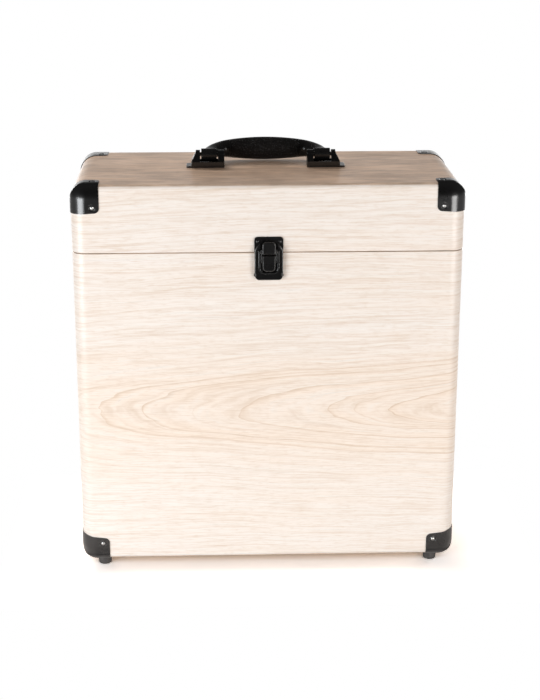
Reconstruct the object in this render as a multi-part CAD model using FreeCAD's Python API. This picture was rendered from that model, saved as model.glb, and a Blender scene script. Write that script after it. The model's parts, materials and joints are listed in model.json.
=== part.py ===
import FreeCAD
import Part
import math
import os

# A case that carries long-playing records: a board box under a wood-grain covering, with a hinged lid,
# corner guards, feet, a draw latch on the front and a folding handle on top.
# Lengths are in millimetres and angles in degrees. X runs along the width, -Y is the front and +Z is up.
# The origin is on the floor, under the middle of the box.

Vector = FreeCAD.Vector
ALONG_X = Vector(1, 0, 0)
ALONG_Y = Vector(0, 1, 0)
ALONG_Z = Vector(0, 0, 1)

# Box, measured outside its covering and without its feet
case_width = 350.0
case_depth = 160.0
case_height = 357.8
lid_height = 61.3
side_round = 14.0
upright_round = 12.0
face_round = 4.5
board_thickness = 9.0
covering_thickness = 0.4
lining_thickness = 0.8
seam_gap = 0.4
seam_round = 0.9
foot_drop = 12.4

# Corner guards
guard_wall = 0.7
guard_reach = 25.6
guard_tall_droop = 1.0
guard_edge_step = 0.4
guard_short_step = 3.0
guard_short_droop = 2.0
guard_bend = 10.0
guard_bend_round = 14.0
guard_edge_start = 0.6
guard_corner_round = 4.5
guard_rivet_margin = 6.3
guard_rivet_tall_margin = 5.5
guard_rivet_short_margin = 10.1
guard_cup_radius = 3.3
guard_cup_floor_radius = 2.5
guard_cup_depth = 0.8
guard_rivet_head_radius = 1.9
guard_rivet_head_height = 0.9
guard_rivet_shank_radius = 1.3
guard_rivet_shank_length = 7.5

# Feet
foot_radius = 6.6
foot_tip_radius = 6.1
foot_edge_round = 1.6
foot_screw_head_radius = 2.8
foot_screw_head_height = 1.8
foot_screw_shank_radius = 1.7
foot_screw_shank_length = 7.0
foot_counterbore_radius = 3.2
foot_counterbore_depth = 6.0

# Handle and its brackets
handle_setback = 4.6
pin_spacing = 104.8
pin_height = 11.3
pin_radius = 1.75
barrel_radius = 5.3
barrel_width = 14.3
barrel_side_gap = 1.1
grip_distance = 30.0
grip_height = 21.3
grip_thickness = 13.4
arm_bend_radius = 26.0
core_thickness = 2.0
core_width = 7.0
core_eye_wall = 1.3
bracket_depth = 16.0
bracket_plate = 1.6
bracket_wall = 1.5
bracket_wall_height = 5.5
bracket_inner_ear = 6.0
bracket_outer_ear = 3.9
bracket_flare = 4.2
bracket_flange = 4.6
bracket_flange_round = 2.0
bracket_ear_round = 4.0
bracket_rivet_spread = 8.0
bracket_rivet_head_radius = 2.4
bracket_rivet_head_height = 1.3
bracket_rivet_shank_radius = 1.6
bracket_rivet_tail_radius = 3.2
bracket_rivet_tail_height = 0.8

# Latch, with heights counted from the seam
latch_plate = 1.2
strike_half_width = 13.0
strike_top_rise = 14.4
strike_foot_rise = 0.9
strike_corner_round = 3.0
strike_rivet_reach = 9.8
strike_rivet_rise = 10.2
catch_half_width = 4.2
catch_rise = 6.0
catch_lip = 1.2
catch_height = 3.0
catch_stand = 4.4
housing_stand = 4.5
housing_half_width = 12.75
housing_foot_half_width = 12.3
housing_drop = 24.6
housing_foot_height = 6.3
housing_foot_round = 3.8
housing_plate_drop = 0.7
housing_edge_round = 0.9
housing_lug_radius = 1.8
housing_lug_reach = 11.6
housing_lug_drop = 20.4
dome_radius = 13.8
dome_drop = 2.8
window_half_width = 7.7
window_drop = 17.0
window_round = 4.0
rim_width = 1.3
rim_stand = 6.4
rim_top_rise = 2.4
tongue_half_width = 6.0
tongue_back = 6.9
tongue_front = 8.5
tongue_bevel = 0.7
tongue_round = 3.3
tongue_split = 1.0
claw_foot_drop = 0.2
claw_top_rise = 11.0
claw_lip_half_width = 4.0
claw_lip_height = 1.8
claw_lip_gap = 0.3
claw_lip_rise = 8.5
claw_bar_rise = 1.0
claw_bar_height = 3.0
claw_bar_back = 5.7
claw_arm_width = 1.0
claw_arm_back = 6.0
claw_arm_front = 7.4
claw_eye_radius = 1.6
lever_length = 14.4
lever_taper = 0.5
lever_cheek = 1.2
lever_cheek_inset = 0.1
lever_eye_radius = 1.8
lever_pin_radius = 1.0
lever_pin_stand = 4.6
lever_pin_drop = 2.6
lever_pin_seat = 1.0
claw_pin_radius = 0.9
claw_pin_stand = 4.3
claw_pin_drop = 6.6
latch_rivet_head_radius = 1.7
latch_rivet_head_height = 0.9
latch_rivet_shank_radius = 1.1
latch_rivet_shank_length = 7.5
housing_rivet_reach = 3.4
housing_rivet_drop = 14.2

# Back hinges
hinge_end_distance = 70.0
hinge_width = 38.0
hinge_leaf = 1.2
hinge_leaf_height = 17.0
hinge_corner_round = 2.5
hinge_knuckle_radius = 2.4
hinge_knuckle_stand = 2.8
hinge_middle_knuckle = 14.0
hinge_knuckle_gap = 0.2
hinge_notch_gap = 0.3
hinge_pin_radius = 1.1
hinge_pin_head_radius = 1.8
hinge_pin_head = 0.8
hinge_stop_reach = 5.6
hinge_stop_thickness = 1.6
hinge_stop_width = 8.0
hinge_screw_spread = 26.0
hinge_screw_rise = 10.5
hinge_screw_head_radius = 2.4
hinge_screw_head_height = 1.1
hinge_screw_shank_radius = 1.3
hinge_screw_shank_length = 7.0
lid_open_angle = 100.0

# Clearances
running_gap = 0.05
drill_gap = 0.05
moving_gap = 0.3
overrun = 2.0

# Levels and planes that the sizes above give
bottom_z = foot_drop
top_z = bottom_z + case_height
seam_z = top_z - lid_height
base_rim_z = seam_z - seam_gap / 2
lid_rim_z = seam_z + seam_gap / 2
half_width = case_width / 2
half_depth = case_depth / 2
wall = covering_thickness + board_thickness
pin_z = top_z + pin_height
pin_y = handle_setback
hinge_x = half_width - hinge_end_distance
guard_rivet_inset = guard_reach - guard_rivet_margin


def box(low, high):
    """An upright block between two corners."""
    size = high - low
    return Part.makeBox(size.x, size.y, size.z, low)


def rod(start, direction, radius, length):
    """A round bar from a point along a direction."""
    return Part.makeCylinder(radius, length, start, direction)


def outline(corners, place):
    """A closed wire through corners (p, q, radius), each rounded by its radius; place puts (p, q) in space."""
    turns = []
    for i, (p, q, radius) in enumerate(corners):
        here = Vector(p, q, 0)
        before = Vector(corners[i - 1][0], corners[i - 1][1], 0)
        after = Vector(corners[(i + 1) % len(corners)][0], corners[(i + 1) % len(corners)][1], 0)
        back = (before - here).normalize()
        on = (after - here).normalize()
        if radius == 0:
            turns.append((here, here, here))
            continue
        half = back.getAngle(on) / 2
        run = radius / math.tan(half)
        middle = here + (back + on).normalize() * (radius / math.sin(half) - radius)
        turns.append((here + back * run, middle, here + on * run))
    edges = []
    for i, (start, middle, end) in enumerate(turns):
        last = turns[i - 1][2]
        if not last.isEqual(start, running_gap / 1000):
            edges.append(Part.LineSegment(place(last.x, last.y), place(start.x, start.y)).toShape())
        if not start.isEqual(end, running_gap / 1000):
            points = [place(v.x, v.y) for v in (start, middle, end)]
            edges.append(Part.Arc(*points).toShape())
    return Part.Wire(edges)


def prism(corners, place, run):
    """A solid of one outline, carried along the vector run."""
    return Part.Face(outline(corners, place)).extrude(run)


def fuse_all(shapes):
    """One solid of shapes that overlap."""
    whole = shapes[0].multiFuse(shapes[1:])
    return whole.removeSplitter()


def in_plane(edge, axis, level):
    """Whether an edge lies in the plane at a level of X (0), Y (1) or Z (2)."""
    box_ = edge.BoundBox
    low = (box_.XMin, box_.YMin, box_.ZMin)[axis]
    high = (box_.XMax, box_.YMax, box_.ZMax)[axis]
    return abs(low - level) < running_gap and abs(high - level) < running_gap


# Fasteners: each is a place on a surface and the direction out of it


def rivet(point, outward, head_radius, head_height, shank_radius, shank_length):
    """A domed head with a shank that goes into the surface, turned about its own axis."""
    sideways = outward.cross(Vector(outward.y, outward.z, outward.x))
    ball_radius = (head_radius * head_radius + head_height * head_height) / (2 * head_height)
    half_angle = math.asin(head_radius / ball_radius) / 2
    middle_height = head_height - ball_radius * (1 - math.cos(half_angle))
    corners = [
        (0, head_height),
        (0, -shank_length),
        (shank_radius, -shank_length),
        (shank_radius, 0),
        (head_radius, 0),
    ]
    spots = [point + sideways * p + outward * q for p, q in corners]
    middle = point + sideways * (ball_radius * math.sin(half_angle)) + outward * middle_height
    edges = [Part.LineSegment(a, b).toShape() for a, b in zip(spots, spots[1:])]
    edges.append(Part.Arc(spots[-1], middle, spots[0]).toShape())
    return Part.Face(Part.Wire(edges)).revolve(point, outward, 360)


def bores(places, radius, start, depth):
    """Drilled holes: from start above each place to depth below it."""
    cuts = []
    for point, outward in places:
        cuts.append(rod(point - outward * depth, outward, radius, start + depth))
    return Part.makeCompound(cuts)


# Box


def body_form(inset):
    """The closed box, drawn in by inset from the outside of its covering: a front view carried backwards,
    rounded along its front and back faces, within a plan carried upwards."""
    across = half_width - inset
    low = bottom_z + inset
    high = top_z - inset
    front = -half_depth + inset
    radius = side_round - inset
    corners = [(-across, low, radius), (across, low, radius), (across, high, radius), (-across, high, radius)]
    solid = prism(corners, lambda p, q: Vector(p, front, q), ALONG_Y * (-2 * front))
    ends = [e for e in solid.Edges if in_plane(e, 1, front) or in_plane(e, 1, -front)]
    solid = solid.makeFillet(face_round - inset, ends)
    radius = upright_round - inset
    plan = [(-across, front, radius), (across, front, radius), (across, -front, radius), (-across, -front, radius)]
    return solid.common(prism(plan, lambda p, q: Vector(p, q, low), ALONG_Z * (high - low)))


def wide_slab(low, high):
    """A slab between two heights that is wider than the whole case."""
    return box(Vector(-case_width, -case_depth, low), Vector(case_width, case_depth, high))


def base_form(inset):
    """The lower part of the box, drawn in by inset, with its rim edge rounded."""
    rim = base_rim_z - inset
    part = body_form(inset).common(wide_slab(bottom_z - overrun, rim))
    return part.makeFillet(seam_round - inset, [e for e in part.Edges if in_plane(e, 2, rim)])


def lid_form(inset):
    """The upper part of the box, drawn in by inset, with its rim edge rounded."""
    rim = lid_rim_z + inset
    part = body_form(inset).common(wide_slab(rim, top_z + overrun))
    return part.makeFillet(seam_round - inset, [e for e in part.Edges if in_plane(e, 2, rim)])


def hollow(inset, low, high):
    """The inside of the box, drawn in by inset from the inner faces of the boards."""
    across = half_width - wall - inset
    along = half_depth - wall - inset
    return box(Vector(-across, -along, low), Vector(across, along, high))


def base_cavity(inset):
    return hollow(inset, bottom_z + wall + inset, seam_z)


def lid_cavity(inset):
    return hollow(inset, seam_z, top_z - wall - inset)


def split_boards(boards, flat_name, prefix):
    """The boards of one half: front and back over the full width, sides between them, then the flat one."""
    across = half_width - wall
    along = half_depth - wall
    low = Vector(-case_width, -case_depth, -foot_drop)
    high = Vector(case_width, case_depth, 2 * top_z)
    front = box(low, Vector(high.x, -along, high.z))
    back = box(Vector(low.x, along, low.z), high)
    left = box(Vector(low.x, -along, low.z), Vector(-across, along, high.z))
    right = box(Vector(across, -along, low.z), Vector(high.x, along, high.z))
    middle = box(Vector(-across, -along, low.z), Vector(across, along, high.z))
    zones = {"front": front, "back": back, "left": left, "right": right, flat_name: middle}
    return {prefix + "_" + name + "_panel": boards.common(zone) for name, zone in zones.items()}


# Corner guards


def guard_skin():
    """The layer of guard material all over the box."""
    return body_form(-guard_wall).cut(body_form(0))


def lobe(start, edge, far, tip):
    """One lobe of a guard as distances from the box's corner: its first free edge runs out from start to the
    tip, and the other one goes from the tip over the bend, at far, to edge at the box's own edge."""
    out = guard_wall + overrun
    return [
        (-out, -out, 0),
        (start, -out, 0),
        (start, guard_bend, 0),
        (guard_reach, tip, guard_corner_round),
        (guard_bend, far, guard_bend_round),
        (guard_edge_start, edge, 0),
        (guard_edge_start, guard_reach + out, 0),
        (-out, guard_reach + out, 0),
    ]


def guard_lobes(up):
    """The outlines of a guard's three lobes. The one on top, or on the face below, is shorter than the others."""
    edge = guard_reach - guard_edge_step
    far = guard_reach - guard_short_step
    tall = lobe(guard_reach, guard_reach, guard_reach, guard_reach - guard_tall_droop)
    short = lobe(guard_reach, edge, far, far - guard_short_droop)
    if up > 0:
        side = lobe(edge, guard_reach, guard_reach, guard_reach - guard_tall_droop)
        return {"face": tall, "flat": short, "side": side}
    return {"face": short, "flat": tall, "side": lobe(guard_reach, edge, edge, edge - guard_tall_droop)}


def guard_places(across, along, up):
    """Where a guard's fasteners go: on the front or back face, on the side, and on top or below."""
    tall = guard_reach - guard_rivet_tall_margin
    short = guard_reach - guard_rivet_short_margin
    face_up = tall if up > 0 else short
    flat_along = short if up > 0 else guard_rivet_inset
    level = top_z if up > 0 else bottom_z
    beside = across * (half_width - guard_rivet_inset)
    face = Vector(beside, along * half_depth, level - up * face_up)
    side = Vector(across * half_width, along * (half_depth - guard_rivet_inset), level - up * guard_rivet_inset)
    flat = Vector(beside, along * (half_depth - flat_along), level)
    return {"face": (face, ALONG_Y * along), "side": (side, ALONG_X * across), "flat": (flat, ALONG_Z * up)}


def cup(point, outward, stand, above):
    """A shallow cone whose rim is at a stand from the box, carried on above the rim."""
    slope = (guard_cup_radius - guard_cup_floor_radius) / guard_cup_depth
    floor = point + outward * (stand - guard_cup_depth)
    rim = guard_cup_radius + slope * above
    return Part.makeCone(guard_cup_floor_radius, rim, guard_cup_depth + above, floor, outward)


def guard_cups(up):
    """What the pressed cups of a row of guards take out of the covering and the boards."""
    return Part.makeCompound([cup(point, outward, 0, overrun) for point, outward in guard_rivet_places(up)])


def guard(skin, across, along, up):
    """One guard: the skin inside the outlines of its three lobes, pressed in to a cup with a hole at each rivet."""
    shapes = guard_lobes(up)
    out = guard_wall + overrun
    level = top_z if up > 0 else bottom_z
    reach = guard_reach + 2 * out
    face = prism(
        shapes["face"],
        lambda p, q: Vector(across * (half_width - p), along * (half_depth + out), level - up * q),
        ALONG_Y * (-along * reach),
    )
    flat = prism(
        shapes["flat"],
        lambda p, q: Vector(across * (half_width - p), along * (half_depth - q), level + up * out),
        ALONG_Z * (-up * reach),
    )
    side = prism(
        shapes["side"],
        lambda p, q: Vector(across * (half_width + out), along * (half_depth - p), level - up * q),
        ALONG_X * (-across * reach),
    )
    piece = skin.common(face).common(flat).common(side)
    places = guard_places(across, along, up)
    if up < 0:
        foot_point, foot_out = places.pop("flat")
        piece = piece.cut(rod(foot_point, foot_out, foot_screw_shank_radius + drill_gap, out))
    for point, outward in places.values():
        piece = piece.fuse(cup(point, outward, 0, guard_wall / 2))
        piece = piece.cut(cup(point, outward, guard_wall, overrun))
        start = point - outward * (guard_cup_depth + guard_wall)
        piece = piece.cut(rod(start, outward, guard_rivet_shank_radius + drill_gap, out))
    return piece.Solids[0]


def guard_rivet_places(up):
    """Every riveted place of the guards above (up 1) or below (up -1) the seam."""
    places = []
    for across in (-1, 1):
        for along in (-1, 1):
            spots = guard_places(across, along, up)
            if up < 0:
                spots.pop("flat")
            places.extend(spots.values())
    return places


def guard_rivets(up):
    rivets = []
    for point, outward in guard_rivet_places(up):
        seat = point + outward * (guard_wall - guard_cup_depth)
        rivets.append(
            rivet(
                seat, outward, guard_rivet_head_radius, guard_rivet_head_height,
                guard_rivet_shank_radius, guard_rivet_shank_length,
            )
        )
    return rivets


# Feet


def foot_places():
    """Where the feet stand: across, along, and the point on the bottom of the box."""
    return {
        (across, along): guard_places(across, along, -1)["flat"][0]
        for across in (-1, 1)
        for along in (-1, 1)
    }


def foot(point):
    """A tapered rubber foot under a guard, counterbored for its screw."""
    height = foot_drop - guard_wall
    top = point - ALONG_Z * guard_wall
    body = Part.makeCone(foot_radius, foot_tip_radius, height, top, -ALONG_Z)
    tip = [e for e in body.Edges if in_plane(e, 2, 0)]
    body = body.makeFillet(foot_edge_round, tip)
    hole = rod(top, -ALONG_Z, foot_screw_shank_radius + drill_gap, height)
    counterbore = rod(top - ALONG_Z * height, ALONG_Z, foot_counterbore_radius, foot_counterbore_depth)
    return body.cut(hole).cut(counterbore)


def foot_screw(point):
    """The screw of one foot, with its head up in the counterbore."""
    seat = Vector(point.x, point.y, foot_counterbore_depth)
    head = rod(seat - ALONG_Z * foot_screw_head_height, ALONG_Z, foot_screw_head_radius, foot_screw_head_height)
    shank = rod(seat, ALONG_Z, foot_screw_shank_radius, point.z - seat.z + foot_screw_shank_length)
    return fuse_all([head, shank])


# Handle


def arm_path_points():
    """The core's line in plan, from one barrel to the other: ends, and the two rounded corners."""
    reach = pin_spacing / 2
    return [
        (-reach, 0, 0),
        (-reach, grip_distance, arm_bend_radius),
        (reach, grip_distance, arm_bend_radius),
        (reach, 0, 0),
    ]


def core_path():
    """The open line that the steel core follows behind the pins."""
    def place(p, q):
        return Vector(p, pin_y + q, pin_z)
    closed = outline(arm_path_points(), place)
    straight = [e for e in closed.Edges if not in_plane(e, 1, pin_y)]
    return Part.Wire(Part.__sortEdges__(straight))


def core_strip(growth):
    """The flat steel strip inside the handle; growth widens it for the space that it lies in."""
    reach = pin_spacing / 2
    thick = core_thickness / 2 + growth
    tall = core_width / 2 + growth
    corners = [(-thick, -tall, 0), (thick, -tall, 0), (thick, tall, 0), (-thick, tall, 0)]
    section = outline(corners, lambda p, q: Vector(-reach + p, pin_y, pin_z + q))
    strip = core_path().makePipeShell([section], True, True)
    eyes = []
    for side in (-1, 1):
        start = Vector(side * reach - tall, pin_y, pin_z)
        eyes.append(rod(start, ALONG_X, pin_radius + running_gap + core_eye_wall + growth, 2 * tall))
    return fuse_all([strip] + eyes)


def pin_bores(radius):
    """A hole along each handle pin, through everything beside it."""
    reach = pin_spacing / 2
    cuts = []
    for side in (-1, 1):
        start = Vector(side * reach - bracket_depth, pin_y, pin_z)
        cuts.append(rod(start, ALONG_X, radius, 2 * bracket_depth))
    return Part.makeCompound(cuts)


def grip_section(centre, heading, thickness, height):
    """One oval section of the grip, square to its heading in plan."""
    across = Vector(math.cos(math.radians(heading)), math.sin(math.radians(heading)), 0)
    wire = Part.Wire(Part.makeCircle(thickness / 2))
    turn = FreeCAD.Matrix(
        0, across.x, -across.y, centre.x,
        0, across.y, across.x, centre.y,
        height / thickness, 0, 0, centre.z,
        0, 0, 0, 1,
    )
    return wire.transformGeometry(turn)


# Stations of half the grip, from a barrel to the middle: shares of the half spacing of the pins and of the
# grip's distance, the heading of the section, and shares of its thickness and height.
grip_station_shares = [
    (1.0, 0.0, 0.0, 1.05, 0.5),
    (0.983, 0.247, 8.0, 0.935, 0.5),
    (0.933, 0.513, 25.0, 0.935, 0.565),
    (0.83, 0.763, 47.0, 0.955, 0.66),
    (0.697, 0.93, 70.0, 0.97, 0.752),
    (0.44, 0.99, 84.0, 0.985, 0.895),
    (0.23, 1.0, 89.0, 0.99, 0.97),
]


def grip():
    """The moulded handle: an oval bar that bends down to a barrel at each end, around the steel core."""
    reach = pin_spacing / 2
    left = []
    right = []
    for along, out, heading, thick, tall in grip_station_shares:
        y = pin_y + out * grip_distance
        size = (thick * grip_thickness, tall * grip_height)
        left.append(grip_section(Vector(-along * reach, y, pin_z), -heading, *size))
        right.append(grip_section(Vector(along * reach, y, pin_z), heading - 180, *size))
    middle = [grip_section(Vector(0, pin_y + grip_distance, pin_z), -90, grip_thickness, grip_height)]
    bar = Part.makeLoft(left + middle + right[::-1], True, False)
    barrels = []
    for side in (-1, 1):
        start = Vector(side * reach - barrel_width / 2, pin_y, pin_z)
        barrels.append(rod(start, ALONG_X, barrel_radius, barrel_width))
    whole = fuse_all([bar] + barrels)
    return whole.cut(core_strip(drill_gap)).cut(pin_bores(pin_radius + running_gap))


def handle_core():
    return core_strip(0).cut(pin_bores(pin_radius + running_gap))


def ear_shape(side):
    """The outline of the ears seen from the side, carried across the whole bracket."""
    rise = pin_height
    half = bracket_depth / 2
    top_half = bracket_ear_round
    corners = [
        (-half, 0, 0),
        (half, 0, 0),
        (half, bracket_wall_height, 0),
        (top_half, rise, bracket_ear_round),
        (top_half, rise + bracket_ear_round, bracket_ear_round * 0.9),
        (-top_half, rise + bracket_ear_round, bracket_ear_round * 0.9),
        (-top_half, rise, bracket_ear_round),
        (-half, bracket_wall_height, 0),
    ]
    start = side * pin_spacing / 2 - case_depth / 2
    return prism(corners, lambda p, q: Vector(start, pin_y + p, top_z + q), ALONG_X * case_depth)


def bracket(side):
    """One handle bracket: a tray with low front and back walls, a straight inner ear and a flared outer one."""
    centre = side * pin_spacing / 2
    gap = barrel_width / 2 + barrel_side_gap
    inner = gap + bracket_inner_ear
    outer = gap + bracket_outer_ear
    foot = outer + bracket_flare
    half = bracket_depth / 2
    ear_top = pin_height + bracket_ear_round
    reach = foot + bracket_flange

    def place(p, q):
        return Vector(centre + side * p, pin_y - half, top_z + q)

    body = [
        (-inner, 0, 0),
        (foot, 0, 0),
        (foot, bracket_wall_height, 0),
        (outer, ear_top - bracket_ear_round / 2, bracket_ear_round * 2),
        (outer, ear_top, 0),
        (gap, ear_top, 0),
        (gap, bracket_wall_height, 0),
        (-gap, bracket_wall_height, 0),
        (-gap, ear_top, 0),
        (-inner, ear_top, 0),
    ]
    block = prism(body, place, ALONG_Y * bracket_depth).common(ear_shape(side))
    tray = box(
        Vector(centre - gap, pin_y - half + bracket_wall, top_z + bracket_plate),
        Vector(centre + gap, pin_y + half - bracket_wall, top_z + ear_top),
    )
    flange_corners = [
        (0, -half, 0),
        (reach, -half, bracket_flange_round),
        (reach, half, bracket_flange_round),
        (0, half, 0),
    ]
    flange = prism(
        flange_corners,
        lambda p, q: Vector(centre + side * p, pin_y + q, top_z),
        ALONG_Z * bracket_plate,
    )
    holes = bores(bracket_rivet_places(side), bracket_rivet_shank_radius + drill_gap, overrun, bracket_plate)
    return fuse_all([block.cut(tray), flange]).cut(holes).cut(pin_bores(pin_radius + running_gap))


def bracket_rivet_places(side):
    """The two rivets in a bracket's tray, on the plate's upper face."""
    centre = side * pin_spacing / 2
    return [
        (Vector(centre + step * bracket_rivet_spread / 2, pin_y, top_z + bracket_plate), ALONG_Z)
        for step in (-1, 1)
    ]


def bracket_rivet(point, outward):
    """A rivet through the plate, the lid's top board and the lining, closed over inside the lid."""
    depth = bracket_plate + wall + lining_thickness
    body = rivet(
        point, outward, bracket_rivet_head_radius, bracket_rivet_head_height,
        bracket_rivet_shank_radius, depth + bracket_rivet_tail_height / 2,
    )
    tail = rivet(
        point - outward * depth, -outward, bracket_rivet_tail_radius, bracket_rivet_tail_height,
        bracket_rivet_shank_radius, bracket_rivet_tail_height,
    )
    return fuse_all([body, tail])


def handle_pin(side):
    """The pin of one bracket, flush with the outer faces of both ears."""
    gap = barrel_width / 2 + barrel_side_gap
    start = Vector(side * (pin_spacing / 2 - gap - bracket_inner_ear), pin_y, pin_z)
    length = 2 * gap + bracket_inner_ear + bracket_outer_ear
    return rod(start, ALONG_X * side, pin_radius, length)


# Latch: stand is measured outward from the front face, and heights from the seam


def on_front(x, stand, rise):
    return Vector(x, -half_depth - stand, seam_z + rise)


def front_plate(corners, low, high):
    """A plate with an outline in front view, between two stands."""
    return prism(corners, lambda p, q: on_front(p, low, q), ALONG_Y * (low - high))


def side_plate(corners, low, high):
    """A plate with an outline of stands and rises, between two places across."""
    return prism(corners, lambda p, q: on_front(low, p, q), ALONG_X * (high - low))


def front_rod(x, stand, rise, radius, length):
    """A round bar across the latch, from x over a length."""
    return rod(on_front(x, stand, rise), ALONG_X, radius, length)


def mirrored_plate(corners, low, high):
    """A side plate and its mirror image, between two distances from the middle."""
    return [side_plate(corners, low, high), side_plate(corners, -high, -low)]


def bevelled(plate, stand, size):
    """A plate with a bevel all round its front face."""
    level = -half_depth - stand
    return plate.makeChamfer(size, [e for e in plate.Edges if in_plane(e, 1, level)])


def strike():
    """The plate on the lid, with the catch that the claw draws down."""
    wide = strike_half_width
    plate = front_plate(
        [
            (-wide, strike_foot_rise, 0),
            (wide, strike_foot_rise, 0),
            (wide, strike_top_rise, strike_corner_round),
            (-wide, strike_top_rise, strike_corner_round),
        ],
        0, latch_plate,
    )
    foot = catch_rise - catch_height / 2
    head = catch_rise + catch_height / 2
    hook = side_plate(
        [
            (latch_plate / 2, foot, 0),
            (catch_stand, foot, 0),
            (catch_stand, head, 0),
            (catch_stand - catch_lip, head, 0),
            (catch_stand - catch_lip, catch_rise, 0),
            (latch_plate / 2, catch_rise, 0),
        ],
        -catch_half_width, catch_half_width,
    )
    holes = bores(strike_rivet_places(), latch_rivet_shank_radius + drill_gap, overrun, latch_plate)
    return fuse_all([plate, hook]).cut(holes)


def strike_rivet_places():
    return [(on_front(side * strike_rivet_reach, latch_plate, strike_rivet_rise), -ALONG_Y) for side in (-1, 1)]


def housing_rivet_places():
    return [(on_front(side * housing_rivet_reach, latch_plate, -housing_rivet_drop), -ALONG_Y) for side in (-1, 1)]


def latch_rivets(places):
    return [
        rivet(
            point, outward, latch_rivet_head_radius, latch_rivet_head_height,
            latch_rivet_shank_radius, latch_plate + latch_rivet_shank_length,
        )
        for point, outward in places
    ]


def window(growth, low, high):
    """The window that the tongue lies in, open at the top; growth widens it to the outside of its rim."""
    wide = window_half_width + growth
    foot = -window_drop - growth
    head = strike_top_rise + overrun
    return front_plate(
        [
            (-wide, foot, window_round + growth),
            (wide, foot, window_round + growth),
            (wide, head, 0),
            (-wide, head, 0),
        ],
        low, high,
    )


def housing():
    """The casting on the base: a domed block that forks over the strike, with a rimmed window for the tongue."""
    wide = housing_half_width
    narrow = housing_foot_half_width
    step = housing_foot_height - housing_drop
    head = dome_radius - dome_drop
    block = front_plate(
        [
            (-narrow, -housing_drop, housing_foot_round),
            (narrow, -housing_drop, housing_foot_round),
            (narrow, step, 0),
            (wide, step, 0),
            (wide, head, 0),
            (-wide, head, 0),
            (-wide, step, 0),
            (-narrow, step, 0),
        ],
        0, housing_stand,
    )
    dome = rod(on_front(0, 0, -dome_drop), -ALONG_Y, dome_radius, housing_stand)
    below = box(on_front(-wide, housing_stand, -housing_drop), on_front(wide, 0, -dome_drop))
    block = block.common(fuse_all([dome, below]))
    level = -half_depth - housing_stand
    block = block.makeFillet(housing_edge_round, [e for e in block.Edges if in_plane(e, 1, level)])
    over_strike = box(
        on_front(-2 * wide, latch_plate + moving_gap, -housing_plate_drop),
        on_front(2 * wide, 0, strike_top_rise),
    )
    rim = window(rim_width, 0, rim_stand)
    rim_zone = box(on_front(-wide, rim_stand, -housing_drop), on_front(wide, housing_stand / 2, rim_top_rise))
    lugs = [
        rod(on_front(side * housing_lug_reach, 0, -housing_lug_drop), -ALONG_Y, housing_lug_radius, latch_plate)
        for side in (-1, 1)
    ]
    whole = fuse_all([block.cut(over_strike), rim.common(rim_zone)] + lugs)
    whole = whole.cut(window(0, latch_plate, rim_stand + overrun))
    whole = whole.cut(lever_pin_shape(lever_pin_radius + running_gap, running_gap))
    return whole.cut(bores(housing_rivet_places(), latch_rivet_shank_radius + drill_gap, overrun, latch_plate))


def lever_pin_shape(radius, growth):
    """The bar that the lever turns on, let into the rim on both sides."""
    reach = window_half_width + lever_pin_seat + growth
    return front_rod(-reach, lever_pin_stand, -lever_pin_drop, radius, 2 * reach)


def claw_pin_shape(radius, growth):
    """The bar that joins the claw to the lever, as long as the claw is wide."""
    reach = claw_reach() + growth
    return front_rod(-reach, claw_pin_stand, -claw_pin_drop, radius, 2 * reach)


def claw_reach():
    """Half the width over the claw's arms."""
    return tongue_half_width + moving_gap + claw_arm_width


def lever():
    """The lower half of the tongue, with two cheeks that hold both pins."""
    head = -claw_foot_drop - tongue_split
    foot = head - lever_length
    wide = tongue_half_width
    narrow = wide - lever_taper
    plate = front_plate(
        [(-narrow, foot, tongue_round), (narrow, foot, tongue_round), (wide, head, 0), (-wide, head, 0)],
        tongue_back, tongue_front,
    )
    plate = bevelled(plate, tongue_front, tongue_bevel)
    inside = tongue_back + tongue_bevel
    cheek = [
        (inside, head - tongue_bevel, 0),
        (lever_pin_stand, -lever_pin_drop + lever_eye_radius, 0),
        (lever_pin_stand - lever_eye_radius, -lever_pin_drop, 0),
        (claw_pin_stand - claw_eye_radius, -claw_pin_drop, 0),
        (claw_pin_stand, -claw_pin_drop - claw_eye_radius, 0),
        (inside, -claw_pin_drop - 2 * claw_eye_radius, 0),
    ]
    outer = wide - lever_cheek_inset
    inner = outer - lever_cheek
    parts = [plate] + mirrored_plate(cheek, inner, outer)
    for start in (inner, -outer):
        parts.append(front_rod(start, lever_pin_stand, -lever_pin_drop, lever_eye_radius, lever_cheek))
        parts.append(front_rod(start, claw_pin_stand, -claw_pin_drop, claw_eye_radius, lever_cheek))
    whole = fuse_all(parts).cut(lever_pin_shape(lever_pin_radius + running_gap, overrun))
    return whole.cut(claw_pin_shape(claw_pin_radius + running_gap, overrun))


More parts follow.
